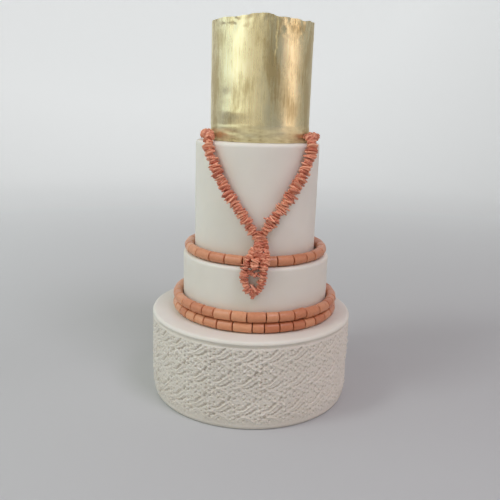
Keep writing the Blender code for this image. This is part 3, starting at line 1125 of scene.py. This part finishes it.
chipLook = {
    "kinds": 8,
    "seed": 11,
    "radius": 6.4 * mm,
    "start": 0.92,  # of the radius, before the outline is pulled
    "thick": 1.3 * mm,
    "reach": (0.58, 1.12),
    "squeeze": (0.62, 0.9),
    "swell": 1.08,  # at the middle of its edge
    "bevel": 1.7 * mm,
    "bevelLift": 0.4 * mm,
    "rough": 0.3,  # mm
    "fullArm": (1.28, 1.42),  # size on the left and on the right arm
    "fullFrom": 20 * mm,  # over the V's foot
    "ledge": 0.94,
    "ledgeFrom": 4 * mm,  # over the arms' top
    "tip": (0.55, 8 * mm),  # size at the loop's foot, up to full size over this height
    "between": 5 * mm,  # the left arm lies left of this
    "standOff": 0.7,  # a fuller strand stands further off the wall
    "size": (0.82, 1.1),
    "thickness": (0.8, 1.2),
    "strewn": 0.6,  # mm
    "tint": (-0.1, 0.8),
    "knotShade": 0.2,  # painted shade: darker chips in the knot and the loop
    "threadTint": -0.3,
}


def modelChip(look, seed):
    rng = random.Random(seed)
    corners = 6 + seed % 4
    end = look["thick"] / 2
    chip = addCylinder("chip", corners, look["radius"] * look["start"], -end, end)
    cutAcross(chip, 0)
    for direction in (-1, 1):
        pick(chip, "FACE", lambda centre, normal: direction * normal.z > 0.9)
        insetUp(look["bevel"], direction * look["bevelLift"])
    objectMode()
    squeeze = rng.uniform(*look["squeeze"])
    reach = [rng.uniform(*look["reach"]) for _ in range(corners)]
    for point in chip.data.vertices:
        corner = round(atan2(point.co.y, point.co.x) / tau * corners) % corners
        swell = look["swell"] if abs(point.co.z) < tiny else 1.0
        point.co.x *= reach[corner] * swell
        point.co.y *= reach[corner] * squeeze * swell
        point.co.z += rng.uniform(-look["rough"], look["rough"]) * mm
    faceOutwards(chip)
    return chip


def chipSize(place, look, route):
    if place.z > route["armTop"] + look["ledgeFrom"]:
        return look["ledge"]
    if place.z < route["meetHeight"]:
        foot, (small, reach) = route["tip"][-1][1] * mm, look["tip"]
        return small + (1 - small) * ease(place.z, foot, foot + reach)
    left, right = look["fullArm"]
    climb = ease(place.z, route["meetHeight"], route["meetHeight"] + look["fullFrom"])
    return 1 + climb * ((left if place.x < look["between"] else right) - 1)


def stringChips(places, chips, scale, tilt, rng, look, route):
    strung = []
    for place, along in places:
        chip = copyOf(rng.choice(chips), "chip")
        # painted shade below the V's foot
        knotShade = look["knotShade"] if place.z < route["meetHeight"] else 0
        setTint(chip, rng.uniform(*look["tint"]) - knotShade)
        lean = Vector([rng.uniform(-tilt, tilt) for _ in range(3)])
        upright = (along + lean).to_track_quat("Z", "Y")
        turn = upright @ Quaternion((0, 0, 1), rng.uniform(0, tau))
        chip.rotation_euler = turn.to_euler()
        full = chipSize(place, look, route)
        size = scale * full * rng.uniform(*look["size"])
        chip.scale = (size, size, rng.uniform(*look["thickness"]))
        further = max(0.0, full - 1) * look["radius"] * look["standOff"]
        out = Vector((place.x - wall3["x"], place.y, 0)).normalized()
        aside = Vector([rng.uniform(-look["strewn"], look["strewn"]) * mm for _ in range(3)])
        chip.location = place + out * further + aside
        strung.append(chip)
    return strung


def chipNecklace(look):
    rng = random.Random(chipLook["seed"])
    chips = [modelChip(chipLook, seed) for seed in range(chipLook["kinds"])]
    strung = []
    pitch, tight = look["pitch"], look["tightPitch"]
    # points, whether they close a ring, the chips' size and tilt, and their pitch
    runs = ((vRoute(look), True, 1.0, 0.3, pitch),
            (loopRoute(look), True, 0.95, 0.4, pitch),
            (drapedRoute(look["knot"], look["chipHalf"], look), False, 1.15, 0.6, tight),
            (drapedRoute(look["tip"], look["loopHalf"], look), False, 0.9, 0.7, tight),
            (drapedRoute(look["doubled"], look["loopHalf"], look), False, 0.95, 0.5, pitch),
            (drapedRoute(look["across"], look["loopHalf"], look), False, 0.62, 0.7, pitch))
    for route, closed, scale, tilt, step in runs:
        strung += stringChips(evenPlaces(route, closed, step), chips, scale, tilt, rng, chipLook, look)
        thread = guideCurve(route, closed, look["thread"])
        alone(thread)
        bpy.ops.object.convert(target="MESH")
        setTint(thread, chipLook["threadTint"])
        strung.append(thread)
    for chip in chips:
        scrap(chip)
    necklace = joinAll(strung, "necklace_chips")
    finish(necklace, ["chip_necklace"], coralChip, 35)


chipNecklace(necklaceLook)
print("necklace made")


# floor, light and view

studioLook = {
    "floor": (0.60, 0.60, 0.595),
    "far": (0.84, 0.86, 0.87),  # the sweep of the backdrop
    "fade": (0.35, 1.6),  # distances between floor and backdrop colour
    "drop": 0.5 * mm,  # under the cake's base
    "flat": 2.2,  # the flat floor's radius, then the turn's up into the wall
    "turn": 1.6,
    "turnSteps": 10,
    "wall": 3.2,
    "sky": (1.0, 0.89, 0.83),
    "skyStrength": 0.24,
    # name: angle from the front, height angle, distance, size across and up, power, colour
    "lights": {
        "window": (-66, 32, 1.5, (2.1, 1.5), 6.4, (0.84, 1.0, 0.98)),
        "key": (-60, 50, 1.5, (0.35, 0.35), 4.3, (0.94, 1.0, 1.0)),
        "room": (-30, 14, 1.9, (2.9, 1.5), 5.25, (1.0, 0.85, 0.58)),
        "lamp": (71, 16, 1.3, (0.6, 1.0), 2.35, (1.0, 0.74, 0.60)),
        "side": (40, 55, 1.5, (0.5, 0.5), 6.5, (0.91, 0.84, 1.0)),
    },
    "aim": (0, 0, 0.22),
    "offFloor": ("room", "lamp"),  # low lights that would leave a line on the floor
    "glow": (0.97, 1.0, 1.0),  # painted light: the backdrop glows, more to the left, standing in for light from behind
    "glowStrength": 0.4,
    "glowTowards": (-0.24, 0.97, 0),
    "glowReach": (0.1, 3.2),
}


def vectorMath(tree, operation):
    node = tree.nodes.new("ShaderNodeVectorMath")
    node.operation = operation
    tree.links.new(objectCoords(tree), node.inputs[0])
    return node


def addFloor(look):
    low, out = -look["drop"], look["flat"]
    bpy.ops.mesh.primitive_circle_add(vertices=64, radius=out, fill_type="NGON", location=(0, 0, low))
    floor = bpy.context.object
    floor.name = "floor"
    applyPlace(floor)
    pick(floor, "EDGE", lambda a, b: True)
    for step in range(1, look["turnSteps"] + 1):
        turn = pi / 2 * step / look["turnSteps"]
        wider = look["flat"] + look["turn"] * sin(turn)
        higher = look["turn"] * (1 - cos(turn)) - look["drop"]
        bpy.ops.mesh.extrude_edges_move(TRANSFORM_OT_translate={"value": (0, 0, higher - low)})
        widen(wider / out)
        low, out = higher, wider
    bpy.ops.mesh.extrude_edges_move(TRANSFORM_OT_translate={"value": (0, 0, look["wall"] - low)})
    objectMode()
    smoothShade(floor, 60)
    material, tree, shader = startMaterial("pale floor", 0.8)
    far = rangeOf(tree, vectorMath(tree, "LENGTH").outputs["Value"], *look["fade"])
    colour = rampOf(tree, far, (0, 1), look["floor"], look["far"])
    tree.links.new(colour, shader.inputs["Base Color"])
    # painted light: a glow on the backdrop, strongest far behind and to the left
    towards = vectorMath(tree, "DOT_PRODUCT")
    towards.inputs[1].default_value = look["glowTowards"]
    tree.links.new(rangeOf(tree, towards.outputs["Value"], *look["glowReach"], 0.0, look["glowStrength"]),
                   shader.inputs["Emission Strength"])
    shader.inputs["Emission Color"].default_value = (*look["glow"], 1.0)
    floor.data.materials.append(material)
    return floor


def addLight(name, look, aim):
    around, above, distance, size, power, colour = look
    level = distance * cos(radians(above))
    place = Vector(aim) + aroundAxis(level, around, distance * sin(radians(above)))
    bpy.ops.object.light_add(type="AREA", location=place)
    light = bpy.context.object
    light.name = name
    light.rotation_euler = (Vector(aim) - place).to_track_quat("-Z", "Y").to_euler()
    light.data.shape = "RECTANGLE"
    light.data.size, light.data.size_y = size
    light.data.energy = power
    light.data.color = colour
    light.visible_camera = False
    return light


def keepOff(light, thing):
    dark = bpy.data.collections.new(light.name + " keeps off")
    dark.objects.link(thing)
    light.light_linking.receiver_collection = dark
    dark.collection_objects[0].light_linking.link_state = "EXCLUDE"


def addSky(look):
    world = bpy.data.worlds.new("soft sky")
    world.use_nodes = True
    setSockets(world.node_tree.nodes["Background"],
               {"Color": (*look["sky"], 1.0), "Strength": look["skyStrength"]})
    bpy.context.scene.world = world


paleFloor = addFloor(studioLook)
for lightName, lightLook in studioLook["lights"].items():
    newLight = addLight(lightName, lightLook, studioLook["aim"])
    if lightName in studioLook["offFloor"]:
        keepOff(newLight, paleFloor)
addSky(studioLook)
bpy.context.scene.view_settings.view_transform = "Standard"
print("studio set")
